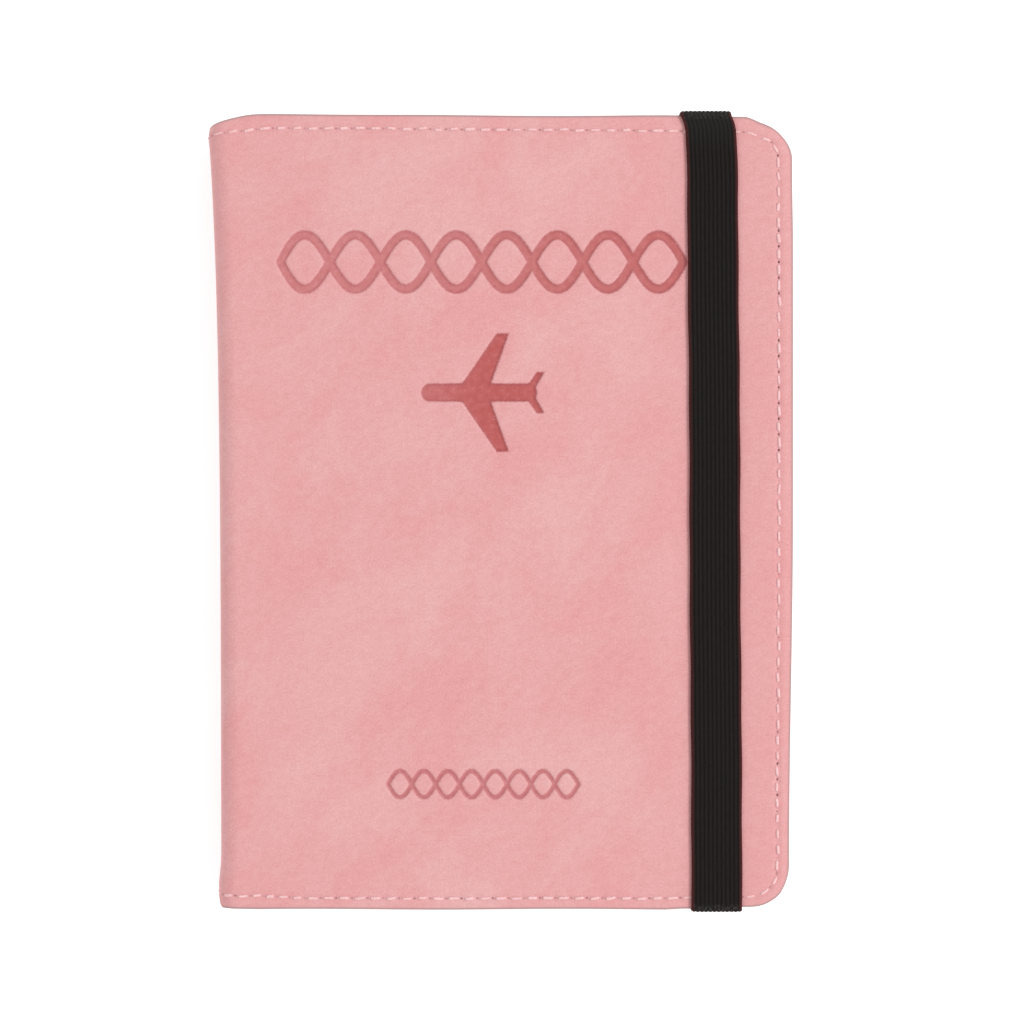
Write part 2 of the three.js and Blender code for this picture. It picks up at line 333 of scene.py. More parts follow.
def polygon_distance(X, y, corners):
    """Signed distance to a polygon, negative inside."""
    best = np.full(X.shape, np.inf)
    inside = np.zeros(X.shape, bool)
    for (ax, ay), (bx, by) in zip(corners, corners[1:] + corners[:1]):
        ex, ey = bx - ax, by - ay
        wx, wy = X - ax, y - ay
        t = np.clip((wx * ex + wy * ey) / (ex * ex + ey * ey), 0, 1)
        best = np.minimum(best, np.hypot(wx - t * ex, wy - t * ey))
        crosses = (ay > y) != (by > y)
        level = ey if ey else 1e-9
        inside ^= crosses & (X < ax + ex * (y - ay) / level)
    return np.where(inside, -best, best)


def blended(a, b, width):
    """The smaller of two distances, with a fillet where they meet."""
    share = np.clip(0.5 + (b - a) / (2 * width), 0, 1)
    return b + (a - b) * share - width * share * (1 - share)


def plane_distance(X, y):
    """Signed distance to an aeroplane seen from above, flying towards the spine."""
    u, v = X - PLANE_X, np.abs(y - PLANE_Y)
    half, body, wing_tip = PLANE_LENGTH / 2, PLANE_BODY / 2, PLANE_SPAN / 2
    tail_tip = 0.35 * wing_tip
    hull = np.hypot(u - np.clip(u, body - half, 0.72 * half), v) - body
    wing = [(-0.44 * half, 0), (0.215 * half, wing_tip), (0.415 * half, wing_tip), (0.075 * half, 0)]
    tail = [(0.63 * half, 0), (0.86 * half, tail_tip), (0.99 * half, tail_tip), (0.8 * half, 0)]
    wing_at, tail_at = (polygon_distance(u, v, shape) for shape in (wing, tail))
    return blended(blended(hull, wing_at, 0.5), tail_at, 0.25)


def press_distance(X, y):
    parts = [braid_distance(X, y, WIDE_BRAID), braid_distance(X, y, SMALL_BRAID), plane_distance(X, y)]
    return np.clip(np.minimum.reduce(parts), -FAR, FAR)


def press_ink(X, y):
    """How dark each ornament is: the wide one darkens towards the fore-edge, the plane from its nose."""
    wide = PLAIN_INK + 0.35 * smooth(X, -40, 34)
    plane = 0.78 + 0.22 * smooth(X, PLANE_X - PLANE_LENGTH / 2, PLANE_X)
    under_wide, over_small = (WIDE_BRAID["y"] + PLANE_Y) / 2, (SMALL_BRAID["y"] + PLANE_Y) / 2
    return np.where(y > under_wide, wide, np.where(y > over_small, plane, PLAIN_INK))


# ---------------------------------------------------------------- relief of the faces


def swell(X, y):
    """Slow unevenness of soft leather over a board."""
    return (
        0.10 * np.sin(X / 17 + y / 31 + 0.6)
        + 0.08 * np.sin(y / 13 - X / 41 + 2.0)
        + 0.05 * np.sin(X / 8.5 + 1.3) * np.sin(y / 10.5 + 0.4)
    )


def seam_run(X, y):
    """Distance along the seam, from the middle of the spine over the head to the tail."""
    middle, half = (SEAM_TAIL - SEAM_HEAD) / 2, HEAD - (SEAM_HEAD + SEAM_TAIL) / 2
    right, top = FORE - SEAM_FORE - SEAM_CORNER, half - SEAM_CORNER
    qx, qy = X - right, np.abs(y - middle) - top
    turn = SEAM_CORNER * math.pi / 2
    straight = right - SHEET_START
    corner = np.where(qx > 0, SEAM_CORNER * np.arctan2(np.maximum(qx, 0), np.maximum(qy, 1e-6)), 0)
    upper = np.where(qx > 0, straight + corner, X - SHEET_START)
    whole = 2 * straight + 2 * turn + 2 * top
    fore = straight + turn + top - (y - middle)
    run = np.where(y > middle, upper, whole - upper)
    return np.where((qx > 0) & (qy < 0), fore, run)


SEAM_LENGTH = float(seam_run(np.array(SHEET_START), np.array(-HEAD + SEAM_TAIL)))
PITCH = SEAM_LENGTH / round(SEAM_LENGTH / STITCH_SPACING)


def seam_relief(X, y):
    """The line that the thread pulls down, deepest at each hole, and the thinner strip outside it."""
    d = seam_distance(X, y)
    pull = 1 + 0.5 * np.cos(2 * math.pi * seam_run(X, y) / PITCH)
    return THREAD_SINK * np.exp(-((d / 0.5) ** 2)) * pull + 0.14 * smooth(d, 0.9, 2.4)


def calm(X, y):
    """1 inside a cover, 0 at its outline and round the spine, where nothing swells."""
    return smooth(-seam_distance(X, y), 0, 12) * smooth(X, CREASE, CREASE + 14)


def cover_relief(X, y):
    """The seam and the swelling of the leather, which lies flat where the elastic presses on it."""
    pressed = under_band(X)
    return seam_relief(X, y) - swell(X, y) * calm(X, y) * (1 - 0.9 * pressed) + 0.04 * pressed


def front_relief(X, y):
    pressed = PRESS_DEPTH * (1 - smooth(press_distance(X, y), -0.32, 0.16))
    return cover_relief(X, y) + pressed


# ---------------------------------------------------------------- materials


def srgb(red, green, blue):
    """A display colour, 0 to 255, as a linear one."""
    parts = [c / 255 for c in (red, green, blue)]
    return tuple(c / 12.92 if c <= 0.04045 else ((c + 0.055) / 1.055) ** 2.4 for c in parts) + (1.0,)


class Shader:
    """A node material, built with short calls that take numbers or sockets."""

    def __init__(self, name, roughness=0.6):
        self.material = bpy.data.materials.new(name)
        self.material.use_nodes = True
        self.tree = self.material.node_tree
        self.bsdf = self.tree.nodes["Principled BSDF"]
        self.bsdf.inputs["Roughness"].default_value = roughness

    def put(self, socket, value):
        if isinstance(value, bpy.types.NodeSocket):
            self.tree.links.new(value, socket)
        else:
            socket.default_value = value

    def node(self, kind, inputs, **settings):
        made = self.tree.nodes.new(kind)
        for key, value in settings.items():
            setattr(made, key, value)
        for key, value in inputs.items():
            self.put(made.inputs[key], value)
        return made

    def math(self, operation, a, b=0.0, clamp=False):
        return self.node("ShaderNodeMath", {0: a, 1: b}, operation=operation, use_clamp=clamp).outputs[0]

    def attribute(self, name, output="Fac"):
        return self.node("ShaderNodeAttribute", {}, attribute_name=name).outputs[output]

    def scaled(self, vector, scale):
        return self.node("ShaderNodeMapping", {"Vector": vector, "Scale": scale}).outputs[0]

    def streaked(self, vector, along, across, degrees):
        """Coordinates whose patterns come out stretched in a direction, in degrees from X."""
        turn = (0, 0, math.radians(degrees))
        inputs = {"Vector": vector, "Scale": (along, across, 1.0), "Rotation": turn}
        return self.node("ShaderNodeMapping", inputs, vector_type="TEXTURE").outputs[0]

    def noise(self, vector, scale, detail=3.0, roughness=0.55, distortion=0.0):
        inputs = {"Vector": vector, "Scale": scale, "Detail": detail,
                  "Roughness": roughness, "Distortion": distortion}
        return self.node("ShaderNodeTexNoise", inputs).outputs["Fac"]

    def ramp(self, value, low, high, to_low=0.0, to_high=1.0):
        inputs = {"Value": value, "From Min": low, "From Max": high, "To Min": to_low, "To Max": to_high}
        return self.node("ShaderNodeMapRange", inputs, interpolation_type="SMOOTHSTEP").outputs[0]

    def mix(self, factor, a, b):
        made = self.node("ShaderNodeMix", {}, data_type="RGBA")
        self.put(made.inputs[0], factor)
        self.put(made.inputs[6], a)
        self.put(made.inputs[7], b)
        return made.outputs[2]

    def tone(self, colour, factor):
        """Colour times a brightness factor."""
        inputs = {0: colour, "Scale": factor}
        return self.node("ShaderNodeVectorMath", inputs, operation="SCALE").outputs[0]

    def vary(self, colour, factor, spread, pink_spread):
        """Brighter or darker with factor; green and blue change more than red does."""
        low, high = ((1 + k * spread, 1 + k * pink_spread, 1 + k * pink_spread, 1) for k in (-1, 1))
        inputs = {0: colour, 1: self.mix(factor, low, high)}
        return self.node("ShaderNodeVectorMath", inputs, operation="MULTIPLY").outputs[0]

    def bump(self, height, strength, depth_mm):
        inputs = {"Height": height, "Strength": strength, "Distance": depth_mm * MM}
        self.put(self.bsdf.inputs["Normal"], self.node("ShaderNodeBump", inputs).outputs[0])

    def colour(self, value):
        self.put(self.bsdf.inputs["Base Color"], value)

    def rough(self, value):
        self.put(self.bsdf.inputs["Roughness"], value)


def flat_sheet(shader):
    """Sheet coordinates in millimetres without the margin, and the margin on its own."""
    split = shader.node("ShaderNodeSeparateXYZ", {0: shader.attribute("sheet", "Vector")})
    plan = shader.node("ShaderNodeCombineXYZ", {0: split.outputs[0], 1: split.outputs[1]})
    return plan.outputs[0], split.outputs[2]


PINK_DARK, PINK_LIGHT = srgb(217, 150, 151), srgb(219, 167, 166)
PINK_CLOUD, PINK_FORE = srgb(219, 159, 159), srgb(217, 152, 153)
CUT_EDGE = srgb(168, 134, 134)


def leather(name, pressed=False, tint=1.0):
    """Matt, cloudy pink leather with a short nap; pressed parts are darker and smoother."""
    s = Shader(name)
    plan, margin = flat_sheet(s)
    clouds = s.ramp(s.noise(s.streaked(plan, 1.25, 0.8, 56), 0.05, 5, 0.6, 0.5), 0.3, 0.7)
    patches = s.ramp(s.noise(s.streaked(plan, 1.25, 0.8, 50), 0.17, 5, 0.65, 0.3), 0.3, 0.72)
    nap = s.noise(s.streaked(plan, 1.4, 1.1, 15), 0.9, 4, 0.7)
    grain = s.noise(plan, 3.0, 3, 0.72)
    across = s.node("ShaderNodeSeparateXYZ", {0: plan}).outputs[0]
    base = s.mix(clouds, PINK_DARK, PINK_LIGHT)
    base = s.mix(s.math("MULTIPLY", patches, 0.4), base, PINK_CLOUD)
    wisps = s.ramp(s.noise(s.streaked(plan, 1.65, 1.0, 40), 0.42, 3, 0.6), 0.3, 0.7)
    base = s.vary(base, wisps, 0.006, 0.016)
    sides = s.math("ADD", s.ramp(across, 5, 50, 0.0, 0.65), s.ramp(across, -50, -10, 0.3, 0.0))
    base = s.mix(sides, base, PINK_FORE)
    base = s.vary(base, s.ramp(nap, 0.25, 0.75), 0.025, 0.065)
    base = s.vary(base, s.ramp(grain, 0.2, 0.8), 0.09, 0.16)
    base = s.tone(base, tint)
    rough = s.ramp(grain, 0.3, 0.7, 0.56, 0.68)
    if pressed:
        base, rough = pressed_in(s, plan, base, rough, grain)
    edge = s.ramp(margin, 0.05, 0.6, 0.9, 0.0)
    s.colour(s.mix(edge, base, CUT_EDGE))
    s.rough(rough)
    pores = s.noise(plan, 2.2, 4, 0.75)
    s.bump(s.math("ADD", grain, pores), 0.28, 0.05)
    s.bsdf.inputs["Specular IOR Level"].default_value = 0.3
    s.bsdf.inputs["Sheen Weight"].default_value = 0.12
    s.bsdf.inputs["Sheen Roughness"].default_value = 0.5
    return s.material


def pressed_in(s, plan, base, rough, grain):
    """The hot-pressed ornaments: walls darkened with painted shade, a slightly lighter floor with a few
    light specks.
    """
    ragged = s.ramp(s.noise(plan, 2.2, 3, 0.6), 0.3, 0.7, -0.06, 0.06)
    distance, ink = s.math("ADD", s.attribute("press"), ragged), s.attribute("ink")
    inside = s.ramp(distance, -0.2, 0.18, 1.0, 0.0)
    floor = s.ramp(distance, -0.7, -0.2, 1.0, 0.0)
    blotch = s.noise(plan, 0.8, 4, 0.7)
    specks = s.math("MULTIPLY", s.ramp(grain, 0.55, 0.75, 0.0, 0.65), s.ramp(blotch, 0.48, 0.62))
    # painted shade: the walls of each ornament are darker than its floor
    dark = s.mix(ink, srgb(196, 118, 122), srgb(168, 78, 79))
    pale = s.mix(ink, srgb(204, 132, 135), srgb(178, 83, 81))
    pressed_colour_with_wall_shade = s.mix(specks, s.mix(floor, dark, pale), base)
    pressed_colour_with_wall_shade = s.vary(pressed_colour_with_wall_shade, s.ramp(blotch, 0.35, 0.65), 0.05, 0.13)
    cover = s.math("MULTIPLY", inside, s.math("ADD", s.math("MULTIPLY", ink, 0.25), 0.72), clamp=True)
    return s.mix(cover, base, pressed_colour_with_wall_shade), s.math("SUBTRACT", rough, s.math("MULTIPLY", inside, 0.12))


def weave(name, warp_colour, weft_colour, period):
    """Plain-woven cloth: two thread directions that cross over each other."""
    s = Shader(name, 0.85)
    plan, _ = flat_sheet(s)
    split = s.node("ShaderNodeSeparateXYZ", {0: plan})
    rate = 2 * math.pi / period
    across, along = (s.math("SINE", s.math("MULTIPLY", split.outputs[i], rate)) for i in (0, 1))
    over = s.math("MULTIPLY", across, along)
    lint = s.noise(plan, 0.8, 4, 0.7)
    colour = s.mix(s.ramp(over, -0.4, 0.4), warp_colour, weft_colour)
    s.colour(s.tone(colour, s.ramp(lint, 0.3, 0.7, 0.93, 1.06)))
    s.bump(over, 0.5, 0.08)
    s.bsdf.inputs["Sheen Weight"].default_value = 0.3
    return s.material


def fibre_board():
    s = Shader("fibre_board", 0.92)
    plan, _ = flat_sheet(s)
    fibres = s.noise(s.scaled(plan, (0.4, 3.0, 1.0)), 1.6, 5, 0.7)
    s.colour(s.mix(s.ramp(fibres, 0.3, 0.7), srgb(168, 138, 130), srgb(202, 176, 166)))
    s.bump(fibres, 0.5, 0.1)
    return s.material


def shield_film():
    s = Shader("shield_film", 0.32)
    plan, _ = flat_sheet(s)
    crinkle = s.noise(plan, 0.7, 4, 0.6, 0.8)
    s.colour(s.mix(s.ramp(crinkle, 0.35, 0.65), srgb(178, 182, 188), srgb(206, 209, 213)))
    s.rough(s.ramp(crinkle, 0.3, 0.7, 0.28, 0.42))
    s.bump(crinkle, 0.35, 0.15)
    s.bsdf.inputs["Metallic"].default_value = 0.9
    return s.material


PLY_RATE = 24.0  # turn of the plies in radians per millimetre of thread


def twisted_thread():
    """Two-ply thread: slanted bright and shaded turns along each stitch, and painted shade where each
    stitch dives into the leather.
    """
    s = Shader("pale_thread", 0.7)
    place = s.attribute("stitch", "Vector")
    along, around, towards_end = s.node("ShaderNodeSeparateXYZ", {0: place}).outputs
    ply = s.math("SINE", s.math("ADD", s.math("MULTIPLY", along, PLY_RATE), around))
    fuzz = s.noise(place, 1.6, 3)
    shade = s.mix(s.ramp(ply, -0.9, 0.3), srgb(232, 180, 182), srgb(244, 200, 201))
    # painted shade: each stitch darkens towards its ends, where it dives into its hole
    shaded_ends = s.mix(s.ramp(towards_end, 0.55, 0.95, 0.0, 0.8), shade, srgb(214, 160, 162))
    s.colour(s.tone(shaded_ends, s.ramp(fuzz, 0.3, 0.7, 0.84, 1.12)))
    s.bump(ply, 0.35, 0.06)
    return s.material


def needle_hole():
    """Shaded holes, no two alike; those down the fore-edge are darker."""
    s = Shader("needle_hole", 0.9)
    place = s.attribute("stitch", "Vector")
    down = s.node("ShaderNodeSeparateXYZ", {0: place}).outputs[1]
    spot = s.ramp(s.noise(place, 2.0, 2), 0.35, 0.65)
    along = s.mix(spot, srgb(166, 116, 120), srgb(202, 146, 149))
    s.colour(s.mix(down, along, s.mix(spot, srgb(92, 58, 62), srgb(142, 92, 97))))
    return s.material


WEFT_PERIOD = 0.42


def ribbed_elastic():
    """Black woven elastic: cords and fine weft, red lint at both edges, painted shade between the cords,
    painted sheen at the head end, and light specks at both bends, partly fraying and partly painted
    sheen.
    """
    s = Shader("ribbed_elastic", 0.82)
    vector = s.attribute("strap", "Vector")
    across, along, crest = s.node("ShaderNodeSeparateXYZ", {0: vector}).outputs
    weft = s.math("SINE", s.math("MULTIPLY", along, 2 * math.pi / WEFT_PERIOD))
    lint = s.noise(s.scaled(vector, (3.0, 0.5, 1.0)), 1.4, 5, 0.7)
    # painted shade: the grooves between the cords are darker than the cords' crests
    cord = s.mix(s.ramp(crest, 0.15, 0.95), srgb(17, 14, 14), srgb(29, 25, 24))
    cord = s.mix(s.ramp(weft, -1.0, 1.0, 0.04, 0.15), cord, srgb(44, 39, 38))
    cord = s.tone(cord, s.ramp(lint, 0.3, 0.7, 0.85, 1.2))
    # painted sheen: the last 8 mm of the band towards the head are greyed lighter
    place = s.node("ShaderNodeTexCoord", {}).outputs["Object"]
    high = s.node("ShaderNodeSeparateXYZ", {0: place}).outputs[1]
    cord = s.mix(s.ramp(high, (HEAD - 8) * MM, HEAD * MM, 0.0, 0.1), cord, srgb(66, 68, 70))
    # light grey specks where the band bends round the cover's edges: partly frayed wear, partly painted
    # sheen
    bend = s.ramp(s.math("ABSOLUTE", high), (HEAD - 1.4) * MM, (HEAD - 0.3) * MM)
    frayed_sheen_specks = s.ramp(s.noise(vector, 2.4, 2, 0.7), 0.5, 0.62, 0.0, 0.25)
    cord = s.mix(s.math("MULTIPLY", bend, frayed_sheen_specks), cord, srgb(112, 108, 106))
    fringe = s.ramp(s.math("ABSOLUTE", across), 3.8, 4.5, 0.0, 0.75)
    s.colour(s.mix(fringe, cord, srgb(82, 35, 34)))
    s.bump(s.math("ADD", weft, lint), 0.45, 0.06)
    s.bsdf.inputs["Specular IOR Level"].default_value = 0.1
    return s.material


COVER_LEATHER = leather("cover_leather")
FRONT_LEATHER = leather("front_cover_leather", pressed=True)
POCKET_LEATHER = leather("pocket_leather", tint=0.97)
LINING_CLOTH = weave("lining_cloth", srgb(196, 132, 136), srgb(214, 154, 156), 0.55)
BOARD = fibre_board()
FILM = shield_film()
THREAD = twisted_thread()
HOLE = needle_hole()
ELASTIC = ribbed_elastic()

# ---------------------------------------------------------------- layers of the two covers


def depth_of(node, side):
    """How far under its cover's outer face a CAD layer starts, and its thickness."""
    low, high = box_mm(node)
    start = THICK - high[2] if side > 0 else low[2]
    return start, high[2] - low[2]


def lining_base(X, y):
    """The lining lies under the board, and comes up to the skin round the spine."""
    start, _ = depth_of("front_lining", 1)
    return SKIN + GLUE + (start - SKIN - GLUE) * smooth(X, BOARD_START - 1.3, BOARD_START + 0.1)


LINING_THICK = depth_of("front_lining", 1)[1]
FLEX = 36.0  # columns beyond this bend with the fore-edge
TAIL_INSIDE, HEAD_INSIDE = -HEAD + 3.4, HEAD - 3.9  # the rows of the seam lie outside these
SPINE_COLUMNS = [(SHEET_START, CREASE - ARC, 1.1), (CREASE - ARC, CREASE, 0.4)]
SEAM_ROWS = [(-HEAD, TAIL_INSIDE, 0.25), (HEAD_INSIDE, HEAD, 0.25)]
PLAIN_ROWS = SEAM_ROWS + [(TAIL_INSIDE, HEAD_INSIDE, 2.2)]
FINE = 0.3  # grid step at the decoration
WIDE_ROWS, PLANE_ROWS, SMALL_ROWS = (38.2, 51.4), (9.6, 32.8), (-52.6, -45.4)
PRESSED_COLUMNS = (-42.0, 35.0)


def front_panel():
    """The front cover's sheet, with a fine grid where the decoration is pressed in."""
    left, right = PRESSED_COLUMNS
    columns = [(left, right, FINE), (right, FLEX, 0.5), (CREASE, left, 0.9)]
    bands = [(low, high, FINE) for low, high in (WIDE_ROWS, PLANE_ROWS, SMALL_ROWS)]
    between = [(TAIL_INSIDE, SMALL_ROWS[0], 1.6), (SMALL_ROWS[1], PLANE_ROWS[0], 1.9),
               (PLANE_ROWS[1], WIDE_ROWS[0], 1.4), (WIDE_ROWS[1], HEAD_INSIDE, 1.6)]
    return Panel(lines(*SPINE_COLUMNS, *columns), rows(*SEAM_ROWS, *bands, *between), free_spine=False)


def plain_panel(start, step=1.6, trim=0.0, free_spine=True):
    """A sheet of a cover: from start if its spine side is free, or else on over the spine."""
    columns = lines((start, FLEX, step))
    if not free_spine:
        risen = BOARD_START + 0.6
        columns = lines(*SPINE_COLUMNS, (CREASE, risen, 0.35), (risen, FLEX, step))
    return Panel(columns, rows(*PLAIN_ROWS), free_spine, trim)


def bend_over(obj, side):
    """Bakes a piece's placement into its mesh; it does not bend the piece over its cover's crease, where
    the front turns on the spine and the spine on the back.
    """
    spine_x, crease_z = CREASE - RADIUS, THICK - RADIUS
    if side > 0:
        at(spine_x, 0, crease_z)
        at(CREASE, 0, THICK)
        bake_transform(obj)
    else:
        at(CREASE, 0, 0)
        at(spine_x, 0, RADIUS)
        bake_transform(obj)


def at(*point):
    """A point in metres."""
    return tuple(c * MM for c in point)


def make_skins():
    front = build_sheet("front_cover_skin", front_panel(), cover_place(1), SKIN, 1,
                        FRONT_LEATHER, front_relief, closed=False)
    back = build_sheet("back_cover_skin", plain_panel(0, free_spine=False), cover_place(-1), SKIN, -1,
                       COVER_LEATHER, cover_relief, closed=False)
    plan = np.zeros(len(front.data.vertices) * 3, np.float32)
    front.data.attributes["sheet"].data.foreach_get("vector", plan)
    X, y, margin = plan.reshape(-1, 3).T.astype(float)
    set_floats(front, "press", np.where(margin > 0, press_distance(X, y), FAR))
    set_floats(front, "ink", press_ink(X, y))
    bend_over(front, 1)
    bend_over(back, -1)
    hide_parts("front_outer_panel", "spine_outer_panel")
    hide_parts("back_outer_panel")


def make_linings():
    for cover, side in (("front", 1), ("back", -1)):
        panel = plain_panel(0, step=2.4, trim=0.25, free_spine=False)
        place = cover_place(side, lining_base)
        obj = build_sheet(f"{cover}_lining_cloth", panel, place, LINING_THICK, side,
                          LINING_CLOTH, edge=0.12)
        bend_over(obj, side)
        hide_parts(f"{cover}_lining", *(["spine_lining"] if side > 0 else []))


def make_stiffeners():
    for cover, side in (("front", 1), ("back", -1)):
        for layer, material, slot, edge, trim in (
            ("board", BOARD, "board", 0.2, 0.45),
            ("rfid_film", FILM, "shield_film", 0.06, 1.2),
        ):
            node = f"{cover}_{layer}"
            start, thick = depth_of(node, side)
            panel = plain_panel(BOARD_START, step=3.0, trim=trim)
            panel.rows = panel.rows * (1 - trim / HEAD)
            obj = build_sheet(f"{node}_sheet", panel, cover_place(side, start), thick, side,
                              material, edge=edge)
            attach(obj, cover)
            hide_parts(node)


# ---------------------------------------------------------------- pockets

HEM = 3.6  # width of a turned pocket edge
HEM_RISE = 0.22
HEM_SEAM = HEM * 0.62  # distance of its stitches from the mouth
PANEL_THICK = {1: 0.6, -1: 0.7}  # of the pockets in the front and the back cover


class Pocket:
    """A panel sewn down at its outline and slack elsewhere, with a turned and stitched mouth."""

    def __init__(self, node, side, start, under, slack, mouth="spine", top=HEAD):
        self.node, self.side, self.start, self.under, self.slack = node, side, start, under, slack
        self.mouth, self.top = mouth, top
        self.thick = PANEL_THICK[side]

    def loose(self, X, y):
        """0 where the panel is sewn down, 1 where it stands off."""
        sewn = smooth(-seam_distance(X, y), 0.3, 9)
        if self.mouth == "head":
            sewn = sewn * smooth(X, self.start + 1.2, self.start + 9)
        return sewn

    def base(self, X, y):
        """Depth of the panel's hidden face."""
        return self.under(X, y) + GLUE + self.slack * self.loose(X, y)

    def face(self, X, y):
        """Depth of the panel's visible face, without its hem."""
        return self.base(X, y) + self.thick

    def hem(self, X, y):
        gap = X - self.start if self.mouth == "spine" else self.top - y
        fold = 1 - smooth(gap, HEM - 0.5, HEM)
        groove = 0.1 * np.exp(-(((gap - HEM_SEAM) / 0.4) ** 2))
        return HEM_RISE * fold - groove

    def hemmed_face(self, X, y):
        """Depth of the panel's visible face, hem included."""
        return self.face(X, y) + self.hem(X, y)

    def covers(self, X, y):
        return (X >= self.start) & (y <= self.top)


def lining_face(X, y):
    return lining_base(X, y) + LINING_THICK


def make_pocket(pocket, name):
    """Builds the panel as a sheet whose outer face, towards the passport, carries the hem."""
    side, hem_zone, step = pocket.side, HEM + 1, 0.45
    inner = pocket.start + hem_zone
    reach = [(pocket.start, inner, step), (inner, FLEX, 2.0)]
    columns = lines(*reach) if pocket.mouth == "spine" else lines((pocket.start, FLEX, 2.0))
    under = pocket.top - hem_zone
    spans = [(-HEAD, TAIL_INSIDE, 0.3), (TAIL_INSIDE, under, 2.2), (under, pocket.top, step)]
    panel = Panel(columns, rows(*spans), trim=0.15)
    place = cover_place(side, pocket.face)
    obj = build_sheet(name, panel, lambda X, y, depth: place(X, y, -depth), pocket.thick * 0.98, -side,
                      POCKET_LEATHER, relief=lambda X, y: -pocket.hem(X, y), edge=0.22)
    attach(obj, "front" if side > 0 else "back")
    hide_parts(pocket.node)


def pocket_stack():
    """The slip pocket, the card slots over it, and the sleeve in the back cover."""
    slip = Pocket("slip_pocket", 1, box_mm("slip_pocket")[0][0], lining_face, 0.3)
    stack, under = [slip], slip.face
    for number in (1, 2, 3):
        low, high = box_mm(f"card_slot_{number}")
        slot = Pocket(f"card_slot_{number}", 1, low[0], under, 0.3, "head", high[1])
        stack.append(slot)
        under = slot.face
    sleeve = Pocket("passport_sleeve", -1, box_mm("passport_sleeve")[0][0], lining_face, 0.5)
    return stack, sleeve


# ---------------------------------------------------------------- stitches

STITCH_HALF = 1.06
STITCH_RADIUS = 0.28
RINGS, SIDES = 9, 8
HOLE_SIDES = 12
HOLE_RINGS = ((1.0, -0.08), (0.8, -0.02), (0.4, -0.05))  # size and height of each ring of a hole
HOLE_LONG, HOLE_WIDE = 0.3, 0.24
HOLE_SHADE_STEP = 3.7  # how far apart the holes sample the noise, so that no two look alike
DOWN_FORE = 0.6  # holes are dark where the seam runs more than this much along y


def seam_path(t):
    """Sheet point and direction at a distance along the edge seam."""
    right, middle = FORE - SEAM_FORE - SEAM_CORNER, (SEAM_TAIL - SEAM_HEAD) / 2
    top = HEAD - (SEAM_HEAD + SEAM_TAIL) / 2 - SEAM_CORNER
    straight, turn = right - SHEET_START, SEAM_CORNER * math.pi / 2
    a = np.clip((t - straight) / SEAM_CORNER, 0, math.pi / 2)
    b = np.clip((t - straight - turn - 2 * top) / SEAM_CORNER, 0, math.pi / 2)
    angle = a + b
    fore = np.clip(t - straight - turn, 0, 2 * top)
    home = np.maximum(t - straight - 2 * turn - 2 * top, 0)
    X = SHEET_START + np.minimum(t, straight) + SEAM_CORNER * np.sin(angle) - home
    y = middle + top - fore + SEAM_CORNER * np.cos(angle)
    return X, y, np.cos(angle), -np.sin(angle)


def straight_path(x0, y0, x1, y1):
    length = math.hypot(x1 - x0, y1 - y0)
    dx, dy = (x1 - x0) / length, (y1 - y0) / length
    return length, lambda t: (x0 + dx * t, y0 + dy * t, dx + 0 * t, dy + 0 * t)


def stitch_centres(length):
    count = round(length / PITCH)
    return (np.arange(count) + 0.5) * length / count


def stitch_points(path, centres, height, rng):
    """Rings of points for short threads that dive into the sheet at both ends."""
    u = np.linspace(-1, 1, RINGS)[None, :, None]
    turn = np.linspace(0, 2 * math.pi, SIDES, endpoint=False)[None, None, :]
    t0 = centres[:, None, None]
    wobble = rng.normal(0, 0.06, t0.shape)
    slant = 0.05 + rng.normal(0, 0.05, t0.shape)
    radius = STITCH_RADIUS * (1 - 0.35 * u**6) * (1 + rng.normal(0, 0.1, t0.shape))
    t = t0 + u * STITCH_HALF * (1 + rng.normal(0, 0.08, t0.shape)) + 0 * turn
    X, y, dx, dy = path(t)
    sideways = wobble + slant * u + radius * np.cos(turn)
    lift = height + 0.17 * (1 - u**4) - 0.2 * u**8 + 0.85 * radius * np.sin(turn) - 0.2 * under_band(X)
    marks = np.stack([t, turn + 0 * t, np.abs(u) + 0 * t], -1)
    return X - dy * sideways, y + dx * sideways, lift, marks


def tube_faces(count, flip):
    """Faces of short closed tubes, one for each stitch."""
    faces = []
    ring = np.arange(SIDES)
    for first in range(0, count * RINGS * SIDES, RINGS * SIDES):
        for k in range(RINGS - 1):
            near = first + k * SIDES + ring
            faces += ring_quads(near, near + SIDES, not flip)
        for end in (first + ring, first + (RINGS - 1) * SIDES + ring[::-1]):
            faces.append((end if flip else end[::-1]).tolist())
    return faces


def add_stitches(name, path, length, place, side, height, seed):
    """A row of stitches, and the needle holes between them, as two pieces."""
    rng = np.random.default_rng(seed)
    centres = stitch_centres(length)
    X, y, lift, marks = stitch_points(path, centres, height - 0.1, rng)
    points = place(X, y, -lift).reshape(-1, 3)
    threads = make_object(name, points, tube_faces(len(centres), side < 0), THREAD)
    set_vectors(threads, "stitch", marks.reshape(-1, 3))
    holes = add_holes(f"{name}_holes", path, centres, place, side, height)
    return threads, holes


